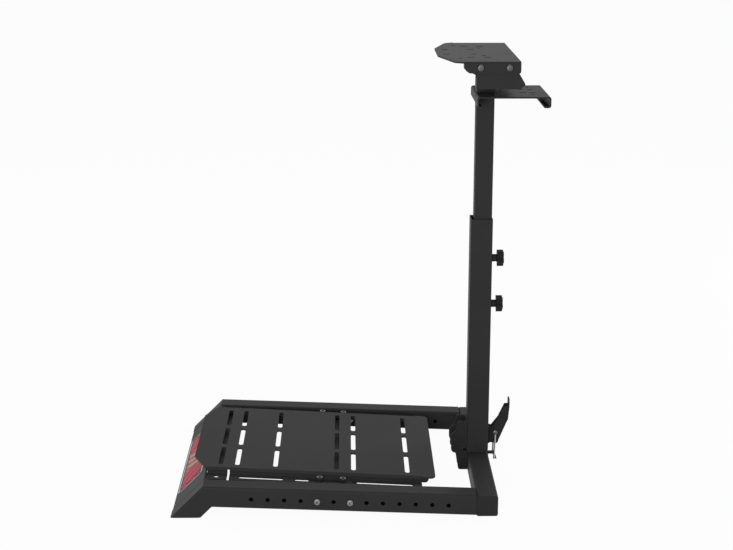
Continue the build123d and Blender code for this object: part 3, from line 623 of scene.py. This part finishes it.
class StandFasteners(bpy.types.PropertyGroup):
    head_radius: bpy.props.FloatProperty(
        name="Head radius", description="Radius of a screw head, in millimetres", default=6.3)
    head_height: bpy.props.FloatProperty(
        name="Head height", description="Height of a screw head, in millimetres", default=4.6)
    socket: bpy.props.FloatProperty(
        name="Socket", description="Apothem of the hexagon socket, in millimetres", default=2.3)
    cap_radius: bpy.props.FloatProperty(
        name="Cap radius", description="Radius of a cap screw's head, in millimetres", default=5.4)
    cap_height: bpy.props.FloatProperty(
        name="Cap height", description="Height of a cap screw's head, in millimetres", default=7.5)
    rivet_radius: bpy.props.FloatProperty(
        name="Rivet radius", description="Radius of the latch's rivet, in millimetres", default=4.5)
    nut_flat: bpy.props.FloatProperty(
        name="Nut", description="Apothem of a nut, in millimetres", default=6.0)
    nut_height: bpy.props.FloatProperty(
        name="Nut height", description="Height of a nut, in millimetres", default=5.0)


class StandStage(bpy.types.PropertyGroup):
    lens: bpy.props.FloatProperty(name="Lens", description="Focal length, in millimetres", default=74.38)
    camera_place: bpy.props.FloatVectorProperty(
        name="Camera", description="Place of the camera", subtype="TRANSLATION", unit="LENGTH",
        default=(-0.02235, -2.83129, 1.16438))
    pitch: bpy.props.FloatProperty(
        name="Pitch", description="How far the camera looks down", subtype="ANGLE",
        default=math.radians(15.116))
    yaw: bpy.props.FloatProperty(
        name="Yaw", description="How far the camera looks to the right", subtype="ANGLE",
        default=math.radians(0.742))
    fill: bpy.props.FloatProperty(
        name="Fill", description="Strength of the even light from all round", default=0.50)


class STAND_OT_coats(bpy.types.Operator):
    """Gives every CAD node its finish"""
    bl_idname = "stand.coats"
    bl_label = "Coats"

    def execute(self, context):
        groups = (
            (COATED, "powder_coat", powder_coat),
            (BLACKENED, "black_stamping", black_stamping),
            (MOULDED, "moulded_plastic", moulded_plastic),
            (PLUGS, "plug_plastic", plug_plastic),
            (WIRES, "spring_wire", spring_wire),
        )
        for names, key, maker in groups:
            material = finish_of(key, maker, context)
            for name in names:
                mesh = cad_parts[name].data
                mesh.materials.clear()
                mesh.materials.append(material)
        return {"FINISHED"}


class STAND_OT_rail_bolts(bpy.types.Operator):
    """Screws through the side rails and the tray brackets, with their nuts"""
    bl_idname = "stand.rail_bolts"
    bl_label = "Rail bolts"

    def execute(self, context):
        size = context.scene.stand_fasteners
        head = screw_head(size.head_radius, size.head_height, size.socket)
        nut = hex_nut(size.nut_flat, size.nut_height, NUT_BORE)
        zinc = finish_of("zinc_plate", zinc_plate, context)
        for key, side in SIDES.items():
            heads = copies(head, at_depth(RAIL_BOLTS, side * RAIL_FACE), (0, side, 0))
            nuts = copies(nut, at_depth(RAIL_BOLTS, side * BRACKET_FACE), (0, -side, 0))
            put("rail_bolts_" + key, heads, zinc, "base")
            put("rail_nuts_" + key, nuts, zinc, "base")
        return {"FINISHED"}


class STAND_OT_lip_bolts(bpy.types.Operator):
    """Screws through the tray's lips and the tray brackets, with their nuts, and a painted highlight ring on
    each head
    """
    bl_idname = "stand.lip_bolts"
    bl_label = "Lip bolts"

    def execute(self, context):
        size = context.scene.stand_fasteners
        head = cap_head(size.cap_radius, size.cap_height, size.socket)
        # Zinc ring over the black head's top edge, where light would catch it: a painted highlight, not a
        # part of the screw
        highlight_ring = rim(size.cap_radius - HIGHLIGHT_RING_WIDTH, size.cap_radius + HIGHLIGHT_RING_PROUD,
                   size.cap_height - HIGHLIGHT_RING_DEPTH, size.cap_height + HIGHLIGHT_RING_PROUD)
        nut = hex_nut(size.nut_flat, size.nut_height, NUT_BORE)
        zinc = finish_of("zinc_plate", zinc_plate, context)
        black = finish_of("black_stamping", black_stamping, context)
        for key, side in SIDES.items():
            seats = [on_tray(x, side * LIP_BOLT_Y, LIP_TOP) for x in LIP_BOLTS]
            under = [on_tray(x, side * LIP_BOLT_Y, SHELF_LOW) for x in LIP_BOLTS]
            put("lip_bolts_" + key, copies(head, seats, TRAY_UP), black, "base")
            # The painted highlight rings, in zinc colour, on the black heads' top edges
            put("lip_bolt_painted_highlights_" + key, copies(highlight_ring, seats, TRAY_UP), zinc, "base")
            put("lip_nuts_" + key, copies(nut, under, -TRAY_UP), zinc, "base")
        return {"FINISHED"}


class STAND_OT_front_plate(bpy.types.Operator):
    """Slanted front plate between the legs, cut level just over the floor"""
    bl_idname = "stand.front_plate"
    bl_label = "Front plate"

    def execute(self, context):
        plate = stand_on(slab(PANEL_SECTION, 2 * PANEL_HALF), (0, PANEL_HALF, 0), (0, -1, 0), ALONG)
        coat = finish_of("powder_coat", powder_coat, context)
        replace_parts(put("front_plate", [plate], coat, "base"), "front_member")
        return {"FINISHED"}


class STAND_OT_lip_fronts(bpy.types.Operator):
    """Front ends of the tray's lips, which run on to the front plate"""
    bl_idname = "stand.lip_fronts"
    bl_label = "Lip fronts"

    def execute(self, context):
        under = on_tray(0, 0, LIP_TOP - SHEET - LIP_SINK)
        spans = ((LIP_INNER, LIP_OUTER), (-LIP_OUTER, -LIP_INNER))
        flats = [slab(oblong(LIP_FRONT, LIP_START, low, high), SHEET) for low, high in spans]
        ends = [stand_on(flat, under, TRAY_UP, ALONG) for flat in flats]
        put("lip_fronts", ends, finish_of("powder_coat", powder_coat, context), "base")
        return {"FINISHED"}


class STAND_OT_wheel_bracket(bpy.types.Operator):
    """Bracket under the wheel plate: two cheeks turned in at the front, a web and its tongue on the mast"""
    bl_idname = "stand.wheel_bracket"
    bl_label = "Wheel bracket"

    def execute(self, context):
        inner = BRACKET_HALF - SHEET
        across = (0, -1, 0)
        turned_in = slab(oblong(0, RETURN_WIDTH, BRACKET_LOW, SHOULDER_Z - SHOULDER_ROUND), SHEET)
        cheek = slab(CHEEK_SIDE, SHEET, CHEEK_HUB)
        sheets = [stand_on(cheek, (0, y, 0), across, ALONG) for y in (BRACKET_HALF, -inner)]
        for y in (inner, RETURN_WIDTH - inner):
            sheets.append(stand_on(turned_in, (NECK_X + SHEET, y, 0), (-1, 0, 0), across))
        web = oblong(WEB_FRONT, WEB_REAR, -inner, inner)
        tongue = oblong(MAST_LEFT, WEB_FRONT, -MAST_HALF, MAST_HALF)
        for level in (web, tongue):
            sheets.append(stand_on(slab(level, SHEET), (0, 0, BRACKET_LOW), UP, ALONG))
        coat = finish_of("powder_coat", powder_coat, context)
        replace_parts(put("bracket_sheets", sheets, coat, "mast"), "wheel_bracket")
        return {"FINISHED"}


class STAND_OT_foot_pad(bpy.types.Operator):
    """Thin seat under the post's foot, which closes the seam over the rear bar"""
    bl_idname = "stand.foot_pad"
    bl_label = "Foot pad"

    def execute(self, context):
        x, y = FOOT_MIDDLE
        pad = oblong(x - FOOT_HALF, x + FOOT_HALF, y - FOOT_HALF, y + FOOT_HALF, FOOT_ROUND)
        placed = stand_on(slab(pad, FOOT_TOP - FOOT_LOW), (0, 0, FOOT_LOW), UP, ALONG)
        put("foot_pad", [placed], finish_of("powder_coat", powder_coat, context), "post")
        return {"FINISHED"}


class STAND_OT_rivets(bpy.types.Operator):
    """Rivet heads over the bail's eyes on the latch lever"""
    bl_idname = "stand.rivets"
    bl_label = "Latch rivets"

    def execute(self, context):
        disc = rivet_head(context.scene.stand_fasteners.rivet_radius, RIVET_HEIGHT)
        x, z = RIVET
        heads = [stand_on(disc, (x, side * RIVET_FACE, z), (0, side, 0), ALONG) for side in SIDES.values()]
        put("latch_rivets", heads, finish_of("dull_plate", dull_plate, context), "lever")
        return {"FINISHED"}


class STAND_OT_sticker(bpy.types.Operator):
    """Printed vinyl on the slanted front panel"""
    bl_idname = "stand.sticker"
    bl_label = "Sticker"

    def execute(self, context):
        size = context.scene.stand_finish
        flat = rounded_sheet(size.sticker_half_length, size.sticker_half_height, size.sticker_corner,
                             STICKER_THICK)
        up = np.array((math.cos(SLOPE), 0.0, math.sin(SLOPE)))
        out = np.array((-math.sin(SLOPE), 0.0, math.cos(SLOPE)))
        middle = np.array((SLOPE_FOOT[0], 0.0, SLOPE_FOOT[1])) + up * size.sticker_middle
        placed = stand_on(flat, middle, out, (0.0, -1.0, 0.0))
        piece = put("sticker", [placed], finish_of("sticker_print", sticker_print, context), "base")
        corners = np.zeros(len(piece.data.loops), int)
        piece.data.loops.foreach_get("vertex_index", corners)
        layer = piece.data.uv_layers.new(name="print")
        layer.data.foreach_set("uv", flat.reshape(-1, 3)[corners, :2].ravel())
        return {"FINISHED"}


class STAND_OT_flange_bolts(bpy.types.Operator):
    """Screws that join the wheel plate's flanges to its bracket, with their nuts"""
    bl_idname = "stand.flange_bolts"
    bl_label = "Flange bolts"

    def execute(self, context):
        size = context.scene.stand_fasteners
        head = screw_head(size.head_radius, size.head_height, size.socket)
        nut = hex_nut(size.nut_flat, size.nut_height, NUT_BORE)
        dull = finish_of("dull_plate", dull_plate, context)
        for key, side in SIDES.items():
            heads = copies(head, at_depth(FLANGE_BOLTS, side * FLANGE_FACE), (0, side, 0))
            nuts = copies(nut, at_depth(FLANGE_BOLTS, side * CHEEK_FACE), (0, -side, 0))
            put("flange_bolts_" + key, heads, dull, "mast")
            put("flange_nuts_" + key, nuts, dull, "mast")
        return {"FINISHED"}


class STAND_OT_stage(bpy.types.Operator):
    """Pale floor, soft studio light and the camera"""
    bl_idname = "stand.stage"
    bl_label = "Stage"

    def execute(self, context):
        scene = context.scene
        stage = scene.stand_stage
        scene.view_settings.view_transform = "Standard"
        self.light(scene, stage)
        self.floor(scene)
        lens = bpy.data.cameras.new("camera")
        lens.lens = stage.lens
        lens.sensor_fit = "HORIZONTAL"
        lens.sensor_width = SENSOR_WIDTH
        lens.clip_end = SIGHT
        camera = bpy.data.objects.new("camera", lens)
        camera.location = stage.camera_place
        camera.rotation_euler = (math.pi / 2 - stage.pitch, 0.0, -stage.yaw)
        scene.collection.objects.link(camera)
        scene.camera = camera
        return {"FINISHED"}

    def seen(self, finish):
        """One where a ray comes from the camera, a gloss or through glass."""
        straight = finish.node("ShaderNodeLightPath", output="Is Camera Ray")
        gloss = finish.node("ShaderNodeLightPath", output="Is Glossy Ray")
        through = finish.node("ShaderNodeLightPath", output="Is Transmission Ray")
        return straight.math("MAXIMUM", straight.math("MAXIMUM", straight, gloss), through)

    def light(self, scene, stage):
        finish = Finish(bpy.data.worlds.new("studio"))
        scene.world = finish.owner
        seen = self.seen(finish)
        strength = seen + (1 - seen) * stage.fill
        back = finish.node("ShaderNodeBackground", None, {"Color": grey(1.0), "Strength": strength})
        finish.node("ShaderNodeOutputWorld", None, {"Surface": back})
        for name, (place, energy, size) in LAMPS.items():
            lamp = bpy.data.lights.new(name, "AREA")
            lamp.energy = energy
            lamp.size = size
            item = bpy.data.objects.new(name, lamp)
            item.location = place
            aim = np.array(LAMP_AIM) - np.array(place)
            item.rotation_euler = (math.atan2(math.hypot(aim[0], aim[1]), -aim[2]), 0.0,
                                   math.atan2(aim[1], aim[0]) - math.pi / 2)
            scene.collection.objects.link(item)

    def floor(self, scene):
        mesh = bpy.data.meshes.new("floor")
        reach = FLOOR_REACH
        corners = [(-reach, -reach, 0), (reach, -reach, 0), (reach, reach, 0), (-reach, reach, 0)]
        mesh.from_pydata(corners, [], [(0, 1, 2, 3)])
        floor = bpy.data.objects.new("floor", mesh)
        scene.collection.objects.link(floor)
        finish = Finish(bpy.data.materials.new("pale_floor"))
        seen = self.seen(finish)
        grain = finish.grain(finish.place(), scale=3.0)
        paper = finish.blend(grain, grey(0.80), grey(0.84))
        matt = finish.node("ShaderNodeBsdfDiffuse", None, {"Color": paper})
        glow = finish.node("ShaderNodeEmission", None, {"Color": grey(1.0), "Strength": 1.0})
        mixed = finish.node("ShaderNodeMixShader", None, {0: seen * FLOOR_GLOW, 1: matt, 2: glow})
        finish.node("ShaderNodeOutputMaterial", None, {"Surface": mixed})
        mesh.materials.append(finish.owner)


class STAND_PT_panel(bpy.types.Panel):
    """Sidebar list of the stand's steps"""
    bl_label = "Racing wheel stand"
    bl_idname = "STAND_PT_panel"
    bl_space_type = "VIEW_3D"
    bl_region_type = "UI"
    bl_category = "Stand"

    def draw(self, context):
        for step in STEPS:
            self.layout.operator(step.bl_idname)


STEPS = (STAND_OT_coats, STAND_OT_rail_bolts, STAND_OT_lip_bolts, STAND_OT_flange_bolts,
         STAND_OT_front_plate, STAND_OT_lip_fronts, STAND_OT_wheel_bracket, STAND_OT_foot_pad,
         STAND_OT_rivets, STAND_OT_sticker, STAND_OT_stage)
GROUPS = {"stand_finish": StandFinish, "stand_fasteners": StandFasteners, "stand_stage": StandStage}


def register():
    for group in GROUPS.values():
        bpy.utils.register_class(group)
    for step in STEPS + (STAND_PT_panel,):
        bpy.utils.register_class(step)
    for key, group in GROUPS.items():
        setattr(bpy.types.Scene, key, bpy.props.PointerProperty(type=group))


def unregister():
    for key in GROUPS:
        delattr(bpy.types.Scene, key)
    for step in STEPS + (STAND_PT_panel,):
        bpy.utils.unregister_class(step)
    for group in GROUPS.values():
        bpy.utils.unregister_class(group)


def main():
    register()
    bpy.ops.stand.coats()
    bpy.ops.stand.rail_bolts()
    bpy.ops.stand.lip_bolts()
    bpy.ops.stand.flange_bolts()
    bpy.ops.stand.front_plate()
    bpy.ops.stand.lip_fronts()
    bpy.ops.stand.wheel_bracket()
    bpy.ops.stand.foot_pad()
    bpy.ops.stand.rivets()
    bpy.ops.stand.sticker()
    bpy.ops.stand.stage()


if __name__ == "__main__":
    main()
